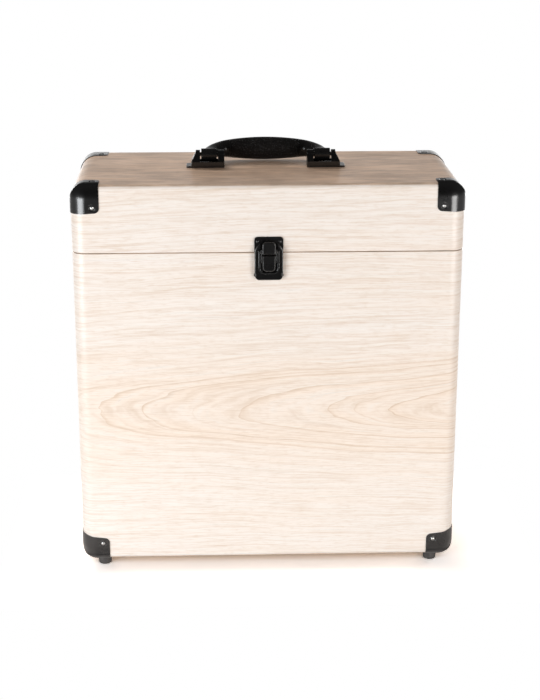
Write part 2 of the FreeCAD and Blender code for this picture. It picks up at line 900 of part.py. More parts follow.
def claw():
    """The upper half of the tongue: a plate with a lip over the catch and two arms down to the lever's pin."""
    wide = tongue_half_width
    plate = front_plate(
        [
            (-wide, -claw_foot_drop, 0),
            (wide, -claw_foot_drop, 0),
            (wide, claw_top_rise, tongue_round),
            (-wide, claw_top_rise, tongue_round),
        ],
        tongue_back, tongue_front,
    )
    plate = bevelled(plate, tongue_front, tongue_bevel)
    reach = claw_reach()
    inside = tongue_back + tongue_bevel
    lip = box(
        on_front(-claw_lip_half_width, inside, claw_lip_rise),
        on_front(claw_lip_half_width, catch_stand + claw_lip_gap, claw_lip_rise + claw_lip_height),
    )
    bar_top = claw_bar_rise + claw_bar_height
    bar = box(on_front(-reach, inside, claw_bar_rise), on_front(reach, claw_bar_back, bar_top))
    eye_foot = -claw_pin_drop - claw_eye_radius
    eye_head = -claw_pin_drop + claw_eye_radius
    arm = [
        (claw_pin_stand, eye_foot, 0),
        (claw_arm_front, eye_foot, claw_eye_radius),
        (claw_arm_front, bar_top, 0),
        (claw_arm_back, bar_top, 0),
        (claw_arm_back, eye_head, 0),
        (claw_pin_stand, eye_head, 0),
    ]
    parts = [plate, lip, bar] + mirrored_plate(arm, reach - claw_arm_width, reach)
    for start in (reach - claw_arm_width, -reach):
        parts.append(front_rod(start, claw_pin_stand, -claw_pin_drop, claw_eye_radius, claw_arm_width))
    return fuse_all(parts).cut(claw_pin_shape(claw_pin_radius + running_gap, overrun))


# Hinges: stand is measured outward from the back face, and heights from the seam


def on_back(x, stand, rise):
    return Vector(x, half_depth + stand, seam_z + rise)


def hinge_knuckles(middle):
    """Where a leaf's knuckles lie along the hinge: the middle one, or the two outer ones."""
    half = hinge_width / 2
    inner = hinge_middle_knuckle / 2
    if middle:
        return [(-inner, inner)]
    return [(-half, -inner - hinge_knuckle_gap), (inner + hinge_knuckle_gap, half)]


def hinge_leaf_shape(x, up):
    """One leaf with its knuckles, above (up 1, the lid's) or below (up -1, the base's) the seam."""
    half = hinge_width / 2
    clear = hinge_knuckle_radius + hinge_notch_gap
    corners = [
        (-half, up * clear, 0),
        (half, up * clear, 0),
        (half, up * hinge_leaf_height, hinge_corner_round),
        (-half, up * hinge_leaf_height, hinge_corner_round),
    ]
    parts = [prism(corners, lambda p, q: on_back(x + p, 0, q), ALONG_Y * hinge_leaf)]
    for low, high in hinge_knuckles(up > 0):
        axis_start = on_back(x + low, hinge_knuckle_stand, 0)
        parts.append(rod(axis_start, ALONG_X, hinge_knuckle_radius, high - low))
        near = on_back(x + low, 0, min(up * seam_gap, up * clear))
        far = on_back(x + high, hinge_leaf, max(up * seam_gap, up * clear))
        parts.append(box(near, far))
    if up > 0:
        parts.append(hinge_stop(x))
    whole = fuse_all(parts)
    whole = whole.cut(rod(on_back(x - half, hinge_knuckle_stand, 0), ALONG_X, hinge_pin_radius + running_gap, hinge_width))
    return whole.cut(bores(hinge_screw_places(x, up), hinge_screw_shank_radius + drill_gap, overrun, hinge_leaf))


def hinge_stop(x):
    """The nose on the lid's knuckle that meets the base's leaf when the lid is fully open."""
    half = hinge_stop_thickness / 2
    tip = math.hypot(hinge_stop_reach, half)
    lead = math.degrees(math.atan2(half, hinge_stop_reach))
    face = hinge_knuckle_stand - hinge_leaf - moving_gap
    travel = 90 + math.degrees(math.asin(face / tip)) - lead
    nose = box(
        Vector(x - hinge_stop_width / 2, hinge_pin_radius + running_gap * 2, -half),
        Vector(x + hinge_stop_width / 2, hinge_stop_reach, half),
    )
    nose.rotate(Vector(0, 0, 0), ALONG_X, lid_open_angle - travel)
    nose.translate(on_back(0, hinge_knuckle_stand, 0))
    return nose


def hinge_screw_places(x, up):
    return [
        (on_back(x + step * hinge_screw_spread / 2, hinge_leaf, up * hinge_screw_rise), ALONG_Y)
        for step in (-1, 1)
    ]


def all_hinge_screw_places(up):
    return [place for side in (-1, 1) for place in hinge_screw_places(side * hinge_x, up)]


def hinge_screws(up):
    return [
        rivet(
            point, outward, hinge_screw_head_radius, hinge_screw_head_height,
            hinge_screw_shank_radius, hinge_leaf + hinge_screw_shank_length,
        )
        for point, outward in all_hinge_screw_places(up)
    ]


def hinge_pin(x):
    """A hinge's pin, with a low head at each end."""
    half = hinge_width / 2
    start = on_back(x - half - hinge_pin_head, hinge_knuckle_stand, 0)
    pin = rod(start, ALONG_X, hinge_pin_radius, hinge_width + 2 * hinge_pin_head)
    heads = [
        rod(start, ALONG_X, hinge_pin_head_radius, hinge_pin_head),
        rod(on_back(x + half, hinge_knuckle_stand, 0), ALONG_X, hinge_pin_head_radius, hinge_pin_head),
    ]
    return fuse_all([pin] + heads)


# Everything that is drilled into the boards


def base_bores():
    foot_spots = [(point, -ALONG_Z) for point in foot_places().values()]
    return [
        guard_cups(-1),
        bores(guard_rivet_places(-1), guard_rivet_shank_radius + drill_gap, overrun,
              guard_rivet_shank_length + guard_cup_depth),
        bores(foot_spots, foot_screw_shank_radius + drill_gap, overrun, foot_screw_shank_length + drill_gap),
        bores(housing_rivet_places(), latch_rivet_shank_radius + drill_gap, overrun,
              latch_plate + latch_rivet_shank_length + drill_gap),
        bores(all_hinge_screw_places(-1), hinge_screw_shank_radius + drill_gap, overrun,
              hinge_leaf + hinge_screw_shank_length + drill_gap),
    ]


def lid_bores():
    bracket_spots = bracket_rivet_places(-1) + bracket_rivet_places(1)
    through = bracket_plate + wall + lining_thickness + overrun
    return [
        guard_cups(1),
        bores(guard_rivet_places(1), guard_rivet_shank_radius + drill_gap, overrun,
              guard_rivet_shank_length + guard_cup_depth),
        bores(bracket_spots, bracket_rivet_shank_radius + drill_gap, overrun, through),
        bores(strike_rivet_places(), latch_rivet_shank_radius + drill_gap, overrun,
              latch_plate + latch_rivet_shank_length + drill_gap),
        bores(all_hinge_screw_places(1), hinge_screw_shank_radius + drill_gap, overrun,
              hinge_leaf + hinge_screw_shank_length + drill_gap),
    ]


def drilled(shape, cuts):
    for cut in cuts:
        shape = shape.cut(cut)
    return shape


def box_nodes():
    """Boards, coverings and linings of the base and the lid."""
    nodes = {}
    base_cuts = base_bores()
    lid_cuts = lid_bores()
    base_boards = base_form(covering_thickness).cut(base_cavity(0))
    lid_boards = lid_form(covering_thickness).cut(lid_cavity(0))
    nodes.update(split_boards(drilled(base_boards, base_cuts), "bottom", "base"))
    nodes.update(split_boards(drilled(lid_boards, lid_cuts), "top", "lid"))
    base_cover = base_form(0).cut(base_form(covering_thickness)).cut(base_cavity(0))
    lid_cover = lid_form(0).cut(lid_form(covering_thickness)).cut(lid_cavity(0))
    nodes["base_covering"] = drilled(base_cover, base_cuts)
    nodes["lid_covering"] = drilled(lid_cover, lid_cuts)
    base_lining = base_cavity(0).cut(base_cavity(lining_thickness)).common(wide_slab(0, base_rim_z))
    lid_lining = lid_cavity(0).cut(lid_cavity(lining_thickness)).common(wide_slab(lid_rim_z, top_z))
    nodes["base_lining"] = base_lining
    nodes["lid_lining"] = drilled(lid_lining, lid_cuts)
    return nodes


def guard_nodes():
    nodes = {}
    skin = guard_skin()
    rows = {-1: "bottom", 1: "top"}
    depths = {-1: "front", 1: "back"}
    sides = {-1: "left", 1: "right"}
    for up, row in rows.items():
        for along, depth in depths.items():
            for across, side in sides.items():
                nodes["guard_" + row + "_" + depth + "_" + side] = guard(skin, across, along, up)
    for (across, along), point in foot_places().items():
        nodes["foot_" + depths[along] + "_" + sides[across]] = foot(point)
    nodes["base_guard_rivets"] = Part.makeCompound(guard_rivets(-1))
    nodes["lid_guard_rivets"] = Part.makeCompound(guard_rivets(1))
    nodes["foot_screws"] = Part.makeCompound([foot_screw(point) for point in foot_places().values()])
    return nodes


def handle_nodes():
    places = bracket_rivet_places(-1) + bracket_rivet_places(1)
    return {
        "handle_grip": grip(),
        "handle_core": handle_core(),
        "handle_bracket_left": bracket(-1),
        "handle_bracket_right": bracket(1),
        "handle_pin_left": handle_pin(-1),
        "handle_pin_right": handle_pin(1),
        "bracket_rivets": Part.makeCompound([bracket_rivet(*place) for place in places]),
    }


def latch_nodes():
    return {
        "latch_strike": strike(),
        "latch_housing": housing(),
        "latch_lever": lever(),
        "latch_claw": claw(),
        "latch_lever_pin": lever_pin_shape(lever_pin_radius, 0),
        "latch_claw_pin": claw_pin_shape(claw_pin_radius, 0),
        "latch_strike_rivets": Part.makeCompound(latch_rivets(strike_rivet_places())),
        "latch_housing_rivets": Part.makeCompound(latch_rivets(housing_rivet_places())),
    }


def hinge_nodes():
    nodes = {}
    for side, name in ((-1, "left"), (1, "right")):
        x = side * hinge_x
        nodes["hinge_" + name + "_lid_leaf"] = hinge_leaf_shape(x, 1)
        nodes["hinge_" + name + "_base_leaf"] = hinge_leaf_shape(x, -1)
        nodes["hinge_" + name + "_pin"] = hinge_pin(x)
    nodes["hinge_lid_screws"] = Part.makeCompound(hinge_screws(1))
    nodes["hinge_base_screws"] = Part.makeCompound(hinge_screws(-1))
    return nodes


def main():
    os.makedirs("parts", exist_ok=True)
    nodes = {**box_nodes(), **guard_nodes(), **handle_nodes(), **latch_nodes(), **hinge_nodes()}
    for name, shape in nodes.items():
        shape.exportStep(os.path.join("parts", name + ".step"))
        print(f"{name:28s} solids {len(shape.Solids):2d} valid {shape.isValid()} volume {shape.Volume:12.2f}")
    print(len(nodes), "nodes")


main()
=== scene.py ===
import json
import math

import bpy
from mathutils import Matrix, Vector

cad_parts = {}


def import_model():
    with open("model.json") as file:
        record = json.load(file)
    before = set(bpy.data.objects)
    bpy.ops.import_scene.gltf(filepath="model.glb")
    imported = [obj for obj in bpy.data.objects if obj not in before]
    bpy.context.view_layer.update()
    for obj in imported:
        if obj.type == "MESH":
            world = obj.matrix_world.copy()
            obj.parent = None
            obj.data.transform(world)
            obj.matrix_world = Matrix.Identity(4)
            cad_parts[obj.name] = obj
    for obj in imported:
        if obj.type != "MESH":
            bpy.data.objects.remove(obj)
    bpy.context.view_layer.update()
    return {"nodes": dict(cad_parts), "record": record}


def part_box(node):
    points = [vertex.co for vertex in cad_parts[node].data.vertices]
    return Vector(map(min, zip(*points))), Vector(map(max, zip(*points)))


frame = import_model()

# The box in metres, out to the guards that clasp its corners, and the height where its two halves meet
HALF_WIDTH, HALF_DEPTH, BOX_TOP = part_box("guard_top_back_right")[1]
BOX_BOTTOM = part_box("guard_bottom_back_right")[0][2]
SEAM = (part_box("base_covering")[1][2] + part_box("lid_covering")[0][2]) / 2

# How wide the pressed guards turn round the box's edges, and the radius of the stamped parts' edges
GUARD_ROUND = 0.015
STAMPED_ROUND = 0.0007

# How far from the grip's middle its leather grain starts to fade and is gone, and where its swell runs out
GRIP_MIDDLE = (0.0300, 0.0335)
GRIP_SHOULDER = (0.0250, 0.0400)

# The printed wood in metres: the height of the arches' axis, how blunt their tips are, and their taper
HEART_LEVEL = 0.1610
HEART_ROUND = 0.028
HEART_TAPER = 0.0030

# The arches' outlines, from the outside in: the ring level of each, and how strong it is
HEART_RINGS = (
    (0.0450, 0.70), (0.0404, 0.85), (0.0357, 0.25), (0.0309, 0.80),
    (0.0222, 0.80), (0.0195, 0.50), (0.0160, 1.00),
)

# How wide an outline and the shade inside it are, and how far apart the rings outside the arches are
OUTLINE_WIDTH = 0.0022
SHADE_WIDTH = 0.012
OUTER_RING_WIDTH = 0.0046

# How far along the wood the middle of the back lies, so that the grain runs on round the right back corner,
# and how much further the lid is
BACK_SHIFT = 0.498
LID_SHIFT = 0.06

# A face looks up, down or back where this much of its normal does
FACE_LIMIT = 0.72

# The film's colours
PALE = (0.885, 0.835, 0.785, 1.0)
ORANGE = (0.880, 0.755, 0.640, 1.0)
DARK = (0.600, 0.445, 0.310, 1.0)
GREY = (0.850, 0.835, 0.800, 1.0)
# A painted warm shade for the top and underneath
PAINTED_LEVEL_SHADE = (0.87, 0.53, 0.26, 1.0)

WHITE = (1.0, 1.0, 1.0, 1.0)
BLACK = (0.0, 0.0, 0.0, 1.0)
DUST = (0.16, 0.15, 0.145, 1.0)
DULL_BLACK = (0.030, 0.028, 0.027, 1.0)

# The warm fill light from all round
FILL_COLOUR = (1.0, 0.85, 0.76, 1.0)
FILL = 0.26

# The floor in metres, its colour to the light, and its two colours to the camera: out on the sheet, and close
# under the case, darker and warmer, with painted shade and the warm light off the case painted in
FLOOR_HALF_WIDTH = 0.8
FLOOR_FRONT = -0.42
FLOOR_BACK = 4.0
FLOOR_TONE = (0.86, 0.85, 0.84, 1.0)
FLOOR_SEEN = (2.15, 2.12, 2.10, 1.0)
FLOOR_SEEN_PAINTED_SHADE = (1.55, 1.30, 1.08, 1.0)

# The photograph's viewpoint, fitted to the edges and corners of the case: metres, degrees and millimetres
CAMERA_PLACE = (-0.04866, -1.42049, 0.64938)
CAMERA_YAW = 2.13
CAMERA_PITCH = 17.84
CAMERA_ROLL = 0.065
CAMERA_LENS = 79.87
CAMERA_SENSOR = 36.0


# Node helpers


class Tree:
    """Builds one node tree with short calls."""

    # For each kind of mix: its two inputs and its output
    MIX_SOCKETS = {"FLOAT": (2, 3, 0), "VECTOR": (4, 5, 1), "RGBA": (6, 7, 2)}

    def __init__(self, tree):
        self.tree = tree

    def node(self, kind, inputs=None, **settings):
        made = self.tree.nodes.new(kind)
        for name, value in settings.items():
            setattr(made, name, value)
        for name, value in (inputs or {}).items():
            self.feed(made.inputs[name], value)
        return made

    def feed(self, socket, value):
        """Links a value that another node gives, or sets a plain one."""
        if isinstance(value, bpy.types.NodeSocket):
            self.tree.links.new(value, socket)
        else:
            socket.default_value = value

    def math(self, operation, *values, clamp=False):
        made = self.node("ShaderNodeMath", operation=operation, use_clamp=clamp)
        for socket, value in zip(made.inputs, values):
            self.feed(socket, value)
        return made.outputs[0]

    def vector_math(self, operation, *values):
        made = self.node("ShaderNodeVectorMath", operation=operation)
        for socket, value in zip(made.inputs, values):
            self.feed(socket, value)
        return made.outputs["Value" if operation == "DOT_PRODUCT" else "Vector"]

    def ramp(self, value, low, high, out_low=0.0, out_high=1.0, smooth=True):
        """A value between two ends, turned into one between two others and held there past the ends."""
        kind = "SMOOTHSTEP" if smooth else "LINEAR"
        inputs = {"Value": value, "From Min": low, "From Max": high, "To Min": out_low, "To Max": out_high}
        return self.node("ShaderNodeMapRange", inputs, interpolation_type=kind).outputs[0]

    def blend(self, kind, share, first, second):
        """The first value where the share is 0, the second where it is 1."""
        first_socket, second_socket, output = self.MIX_SOCKETS[kind]
        made = self.node("ShaderNodeMix", data_type=kind)
        for socket, value in ((0, share), (first_socket, first), (second_socket, second)):
            self.feed(made.inputs[socket], value)
        return made.outputs[output]

    def mix(self, share, first, second):
        """Blends two colours."""
        return self.blend("RGBA", share, first, second)

    def choose(self, share, first, second):
        """Blends two numbers."""
        return self.blend("FLOAT", share, first, second)

    def vector(self, x, y, z=0.0):
        return self.node("ShaderNodeCombineXYZ", {"X": x, "Y": y, "Z": z}).outputs[0]

    def split(self, vector):
        """The x, y and z of a vector."""
        return self.node("ShaderNodeSeparateXYZ", {"Vector": vector}).outputs

    def place(self):
        """The point that is shaded, in metres in the case's own frame."""
        return self.node("ShaderNodeTexCoord").outputs["Object"]

    def noise(self, where, scale, detail=2.0, roughness=0.5, distortion=0.0):
        inputs = {"Vector": where, "Scale": scale, "Detail": detail, "Roughness": roughness}
        return self.node("ShaderNodeTexNoise", inputs | {"Distortion": distortion}).outputs[0]

    def bump(self, height, strength, distance, normal=None):
        made = self.node("ShaderNodeBump", {"Strength": strength, "Distance": distance, "Height": height})
        if normal is not None:
            self.feed(made.inputs["Normal"], normal)
        return made.outputs[0]


def material(name):
    """A new material with its tree and its shader."""
    made = bpy.data.materials.new(name)
    made.use_nodes = True
    shader = made.node_tree.nodes["Principled BSDF"]
    return made, Tree(made.node_tree), shader


def dress(tree, shader, colour, roughness, normal, fixed=()):
    """Feeds a shader its colour, roughness and normal, and sets the values that are the same all over."""
    tree.feed(shader.inputs["Base Color"], colour)
    tree.feed(shader.inputs["Roughness"], roughness)
    tree.feed(shader.inputs["Normal"], normal)
    for name, value in fixed:
        shader.inputs[name].default_value = value


def emptied(owner):
    """The tree of a material or world, without the nodes that it starts with."""
    owner.use_nodes = True
    for old in list(owner.node_tree.nodes):
        owner.node_tree.nodes.remove(old)
    return Tree(owner.node_tree)


def edge_wear_and_highlight(tree, size):
    """A share that is 0 on flat places and rises along sharp edges."""
    rounded = tree.node("ShaderNodeBevel", {"Radius": size}, samples=4).outputs[0]
    own = tree.node("ShaderNodeNewGeometry").outputs["Normal"]
    return tree.ramp(tree.vector_math("DOT_PRODUCT", rounded, own), 0.995, 0.85)


# The printed film


def grain_place(tree):
    """Where a point of the film lies on the wood, along the grain and across it in metres, and a share that is
    1 on level faces. The grain runs level all round the case, and along the width on the top and underneath."""
    x, y, z = tree.split(tree.place())
    _, backward, upward = tree.split(tree.node("ShaderNodeTexCoord").outputs["Normal"])
    behind = tree.math("ADD", y, HALF_DEPTH)
    flat = tree.math("GREATER_THAN", tree.math("ABSOLUTE", upward), FACE_LIMIT)
    back = tree.math("GREATER_THAN", backward, FACE_LIMIT)
    wrapped = tree.math("ADD", x, tree.math("MULTIPLY", tree.math("SIGN", x), behind))
    along = tree.choose(back, wrapped, tree.math("SUBTRACT", BACK_SHIFT, x))
    along = tree.choose(flat, along, x)
    across = tree.math("ADD", z, tree.math("MULTIPLY", behind, flat))
    in_lid = tree.math("GREATER_THAN", z, SEAM)
    along = tree.math("ADD", along, tree.math("MULTIPLY", in_lid, LID_SHIFT))
    return along, across, flat


def arches(tree, ring, steep):
    """The outlines of the arches, dark and sharp outside, and the shade that fades inward from each."""
    line, shade = 0.0, 0.0
    for level, strength in HEART_RINGS:
        inside = tree.math("DIVIDE", tree.math("SUBTRACT", level, ring), steep)
        there = tree.math("GREATER_THAN", inside, 0.0)
        thin = tree.math("MULTIPLY", there, tree.ramp(inside, 0.0, OUTLINE_WIDTH, strength, 0.0))
        wide = tree.math("MULTIPLY", there, tree.ramp(inside, 0.0, SHADE_WIDTH, strength, 0.0))
        line = tree.math("MAXIMUM", line, thin)
        shade = tree.math("MAXIMUM", shade, wide)
    return line, shade


def outer_rings(tree, along, ring, side):
    """The closer rings outside the arches, each there for a part of its length only."""
    uneven = tree.noise(tree.vector(tree.math("MULTIPLY", ring, 110.0), side), 1.0, 1.0)
    even = tree.math("DIVIDE", ring, OUTER_RING_WIDTH)
    count = tree.math("ADD", even, tree.math("MULTIPLY", uneven, 2.4))
    where = tree.vector(tree.math("MULTIPLY", along, 5.0), tree.math("FLOOR", count), side)
    chance = tree.ramp(tree.noise(where, 3.1, 0.0), 0.30, 0.70)
    chance = tree.math("MULTIPLY", chance, tree.ramp(ring, 0.046, 0.056))
    sharp = tree.math("POWER", tree.math("FRACT", count), 7.0)
    return tree.math("MULTIPLY", sharp, chance)


def wood_grain_film():
    """Cream film printed and embossed with flat-sawn wood."""
    made, tree, shader = material("wood_grain_film")
    along, across, flat = grain_place(tree)

    # Growth rings cut nearly along the tree are nested arches about one level, and almost straight lines far
    # from it. The fibres differ between the two sides of that level
    off = tree.math("SUBTRACT", across, HEART_LEVEL)
    side = tree.ramp(off, -0.035, 0.035, 0.0, 2.5)

    def streaks(lengthwise, crosswise, level, detail=2.0, roughness=0.5):
        """Noise drawn out along the grain: so many per metre along it, and across it by a level."""
        over = tree.math("MULTIPLY", along, lengthwise)
        up = tree.math("MULTIPLY", level, crosswise)
        return tree.noise(tree.vector(over, up, side), 1.0, detail, roughness)

    def swayed(value, wave, size):
        """A value moved up and down by a wave."""
        return tree.math("ADD", value, tree.math("MULTIPLY", tree.math("SUBTRACT", wave, 0.5), size))

    off = swayed(off, streaks(5.0, 9.0, across), 0.020)
    depth = tree.math("SQRT", tree.math("ADD", tree.math("MULTIPLY", off, off), HEART_ROUND ** 2))
    taper = tree.math("DIVIDE", tree.math("MULTIPLY", along, HEART_TAPER), depth)
    ring = swayed(tree.math("SUBTRACT", depth, taper), streaks(22.0, 60.0, across), 0.0022)
    slope = tree.math("POWER", tree.math("DIVIDE", off, depth), 2.0)
    steep = tree.math("SQRT", tree.math("ADD", slope, (HEART_TAPER / HEART_ROUND) ** 2))

    line, shade = arches(tree, ring, steep)
    line = tree.math("MAXIMUM", line, tree.math("MULTIPLY", outer_rings(tree, along, ring, side), 0.42))
    line = tree.math("MULTIPLY", line, tree.ramp(streaks(30.0, 300.0, across), 0.25, 0.60, 0.45, 1.0))

    # Fibres, drawn out along the rings, and short pores
    cloud = streaks(3.5, 16.0, ring)
    broad = streaks(6.0, 85.0, ring, roughness=0.35)
    long_fibre = streaks(7.0, 300.0, ring)
    fine_fibre = streaks(11.0, 640.0, ring, roughness=0.6)
    short_fibre = streaks(50.0, 1000.0, across)
    flecks = streaks(150.0, 600.0, across)
    pores = tree.ramp(streaks(110.0, 1700.0, across, detail=1.0), 0.60, 0.72)
    heart = tree.ramp(tree.math("ABSOLUTE", off), 0.085, 0.020)

    # Painted shade on the top and underneath: darker and warmer, and darker again in waves along the grain
    painted_shade_waves = tree.ramp(streaks(14.0, 34.0, across, 4.0, 0.75), 0.32, 0.68, 0.0, 0.29)
    painted_shade_ripples = tree.ramp(streaks(34.0, 130.0, across), 0.38, 0.68, 0.0, 0.21)

    tone = PALE
    for share, colour in (
        (tree.ramp(cloud, 0.35, 0.65, 0.0, 0.22), ORANGE),
        (tree.math("MULTIPLY", heart, 0.52), ORANGE),
        (tree.math("MULTIPLY", shade, 0.55), ORANGE),
        (tree.ramp(broad, 0.50, 0.70, 0.0, 0.11), ORANGE),
        (tree.ramp(broad, 0.50, 0.30, 0.0, 0.12), GREY),
        (tree.ramp(long_fibre, 0.48, 0.74, 0.0, 0.08), DARK),
        (tree.ramp(long_fibre, 0.48, 0.28, 0.0, 0.15), GREY),
        (tree.ramp(fine_fibre, 0.46, 0.74, 0.0, 0.32), DARK),
        (tree.ramp(fine_fibre, 0.48, 0.28, 0.0, 0.40), GREY),
        (tree.ramp(short_fibre, 0.45, 0.75, 0.0, 0.30), DARK),
        (tree.ramp(flecks, 0.50, 0.72, 0.0, 0.16), DARK),
        (tree.math("MULTIPLY", line, 0.66), DARK),
        (tree.math("MULTIPLY", pores, 0.12), DARK),
        # Painted shade on the top and underneath, in the next three layers
        (tree.math("MULTIPLY", flat, 0.40), PAINTED_LEVEL_SHADE),
        (tree.math("MULTIPLY", painted_shade_waves, flat), BLACK),
        (tree.math("MULTIPLY", painted_shade_ripples, flat), BLACK),
    ):
        tone = tree.mix(share, tone, colour)

    height = tree.math("MULTIPLY", fine_fibre, 0.5)
    height = tree.math("SUBTRACT", height, tree.math("MULTIPLY", pores, 0.8))
    height = tree.math("SUBTRACT", height, tree.math("MULTIPLY", line, 0.4))
    roughness = tree.ramp(fine_fibre, 0.3, 0.8, 0.27, 0.37, smooth=False)
    dress(tree, shader, tone, roughness, tree.bump(height, 0.12, 0.0002), [("Specular IOR Level", 0.45)])
    return made


# The black lacquered metal


def pressed_corner(tree):
    """The way that a guard's skin faces where it is pressed round a corner of the box: its own normal on the
    flat parts, and a full round of GUARD_ROUND near the box's edges."""
    x, y, z = tree.split(tree.place())
    middle = (BOX_TOP + BOX_BOTTOM) / 2
    level = tree.math("SUBTRACT", z, middle)

    # How near the point is to the side, to the front or back, and to the top or bottom
    shares, signed = [], []
    for value, limit in ((x, HALF_WIDTH), (y, HALF_DEPTH), (level, BOX_TOP - middle)):
        past = tree.math("SUBTRACT", tree.math("ABSOLUTE", value), limit - GUARD_ROUND)
        share = tree.math("DIVIDE", past, GUARD_ROUND, clamp=True)
        shares.append(share)
        signed.append(tree.math("MULTIPLY", share, tree.math("SIGN", value)))

    # A point is on an edge where it is near two faces at once
    pairs = [tree.math("MINIMUM", shares[i], shares[(i + 1) % 3]) for i in range(3)]
    on_edge = tree.math("MAXIMUM", tree.math("MAXIMUM", pairs[0], pairs[1]), pairs[2])
    turned = tree.node("ShaderNodeVectorTransform", {"Vector": tree.vector(*signed)}, vector_type="VECTOR",
                       convert_from="OBJECT", convert_to="WORLD").outputs[0]
    round_way = tree.vector_math("NORMALIZE", turned)
    own = tree.node("ShaderNodeNewGeometry").outputs["Normal"]
    agree = tree.vector_math("DOT_PRODUCT", round_way, own)
    share = tree.math("MULTIPLY", tree.ramp(on_edge, 0.0, 0.05), tree.ramp(agree, 0.30, 0.60))
    return tree.vector_math("NORMALIZE", tree.blend("VECTOR", share, own, round_way))


def stamped_edge(tree):
    """The way that a stamped part faces, with its edges rounded by one radius."""
    return tree.node("ShaderNodeBevel", {"Radius": STAMPED_ROUND}, samples=8).outputs[0]


def black_metal(name, facing, colour, rough, coat_rough, specular, coat, speckle, worn_and_highlit):
    """Black lacquered metal: a fine orange peel, uneven gloss, dust, and lighter edges that are partly rubbed
    and partly a painted highlight. Facing gives the way that its skin faces."""
    made, tree, shader = material(name)
    where = tree.place()
    peel = tree.noise(where, 1400.0)
    smear = tree.noise(where, 38.0, 4.0, 0.6)
    dust = tree.ramp(tree.noise(where, 900.0, 3.0, 0.7), 0.66, 0.78)
    # The lighter edges are partly rubbed wear and partly a painted highlight
    rubbed_and_highlit = tree.math("MULTIPLY", edge_wear_and_highlight(tree, 0.0005), tree.ramp(smear, 0.35, 0.7, 0.15, 0.9))
    base = colour + (1.0,)
    paler = tuple(1.6 * part for part in colour) + (1.0,)
    bare_and_highlit = (worn_and_highlit, 0.97 * worn_and_highlit, 0.94 * worn_and_highlit, 1.0)
    tone = tree.mix(tree.ramp(smear, 0.3, 0.8, 0.0, 0.35), base, paler)
    tone = tree.mix(tree.math("MULTIPLY", rubbed_and_highlit, 0.5), tone, bare_and_highlit)
    tone = tree.mix(tree.math("MULTIPLY", dust, speckle), tone, DUST)
    roughness = tree.ramp(smear, 0.25, 0.75, rough - 0.05, rough + 0.08, smooth=False)
    way = facing(tree)
    tree.feed(shader.inputs["Coat Normal"], way)
    dress(tree, shader, tone, roughness, tree.bump(peel, 0.10, 0.0001, way),
          [("Specular IOR Level", specular), ("Coat Weight", coat), ("Coat Roughness", coat_rough)])
    return made


# The other materials


def grip_moulding():
    """Black moulding with a leather grain along the middle and smooth, glossy ends."""
    made, tree, shader = material("grip_moulding")
    where = tree.place()
    reach = tree.math("ABSOLUTE", tree.split(where)[0])
    middle = tree.ramp(reach, GRIP_MIDDLE[1], GRIP_MIDDLE[0])
    cells = tree.node("ShaderNodeTexVoronoi", {"Vector": where, "Scale": 620.0}, feature="DISTANCE_TO_EDGE")
    creases = tree.ramp(cells.outputs[0], 0.0, 0.22)
    lumps = tree.noise(where, 420.0, 3.0, 0.6)
    leather = tree.math("ADD", creases, tree.math("MULTIPLY", lumps, 0.8))
    leather = tree.math("MULTIPLY", leather, middle)
    shoulder = tree.bump(tree.ramp(reach, GRIP_SHOULDER[1], GRIP_SHOULDER[0]), 1.0, 0.0036)
    skin = tree.bump(leather, 1.0, 0.0013, shoulder)
    smear = tree.noise(where, 60.0, 3.0)
    raised = tree.math("MULTIPLY", creases, middle)
    tone = tree.mix(raised, (0.006, 0.006, 0.006, 1.0), (0.012, 0.0117, 0.0115, 1.0))
    tone = tree.mix(tree.ramp(smear, 0.3, 0.8, 0.0, 0.15), tone, DULL_BLACK)
    roughness = tree.ramp(smear, 0.25, 0.75, 0.20, 0.30, smooth=False)
    roughness = tree.math("ADD", roughness, tree.math("MULTIPLY", middle, 0.07))
    dress(tree, shader, tone, roughness, skin, [("Specular IOR Level", 0.42)])
    return made


def rubber():
    """Matt rubber with a fine moulded grain and a dusty bloom."""
    made, tree, shader = material("foot_rubber_skin")
    where = tree.place()
    bloom = tree.noise(where, 120.0, 4.0, 0.6)
    tone = tree.mix(tree.ramp(bloom, 0.35, 0.75), (0.054, 0.051, 0.049, 1.0), (0.110, 0.102, 0.098, 1.0))
    roughness = tree.ramp(bloom, 0.2, 0.8, 0.60, 0.78, smooth=False)
    dress(tree, shader, tone, roughness, tree.bump(tree.noise(where, 1800.0), 0.25, 0.0002))
    return made


def bright_steel(name, grain):
    """Plain steel with faint drawn lines and smudges."""
    made, tree, shader = material(name)
    where = tree.place()
    lines = tree.noise(where, grain, 3.0, 0.6, 0.4)
    smudge = tree.noise(where, 300.0, 3.0)
    tone = tree.mix(tree.ramp(smudge, 0.3, 0.75), (0.66, 0.65, 0.63, 1.0), (0.47, 0.46, 0.45, 1.0))
    roughness = tree.ramp(lines, 0.2, 0.8, 0.22, 0.42, smooth=False)
    dress(tree, shader, tone, roughness, tree.bump(lines, 0.12, 0.0001), [("Metallic", 1.0)])
    return made


def lining():
    """Dark matt paper lining with a fibrous surface."""
    made, tree, shader = material("dark_lining")
    where = tree.place()
    fibres = tree.noise(where, 700.0, 5.0, 0.7, 0.8)
    mottle = tree.noise(where, 45.0, 3.0)
    tone = tree.mix(tree.ramp(fibres, 0.3, 0.75), (0.040, 0.037, 0.035, 1.0), (0.085, 0.080, 0.076, 1.0))
    tone = tree.mix(tree.ramp(mottle, 0.3, 0.8, 0.0, 0.35), tone, DULL_BLACK)
    roughness = tree.ramp(fibres, 0.2, 0.8, 0.80, 0.95, smooth=False)
    dress(tree, shader, tone, roughness, tree.bump(fibres, 0.35, 0.0003))
    return made


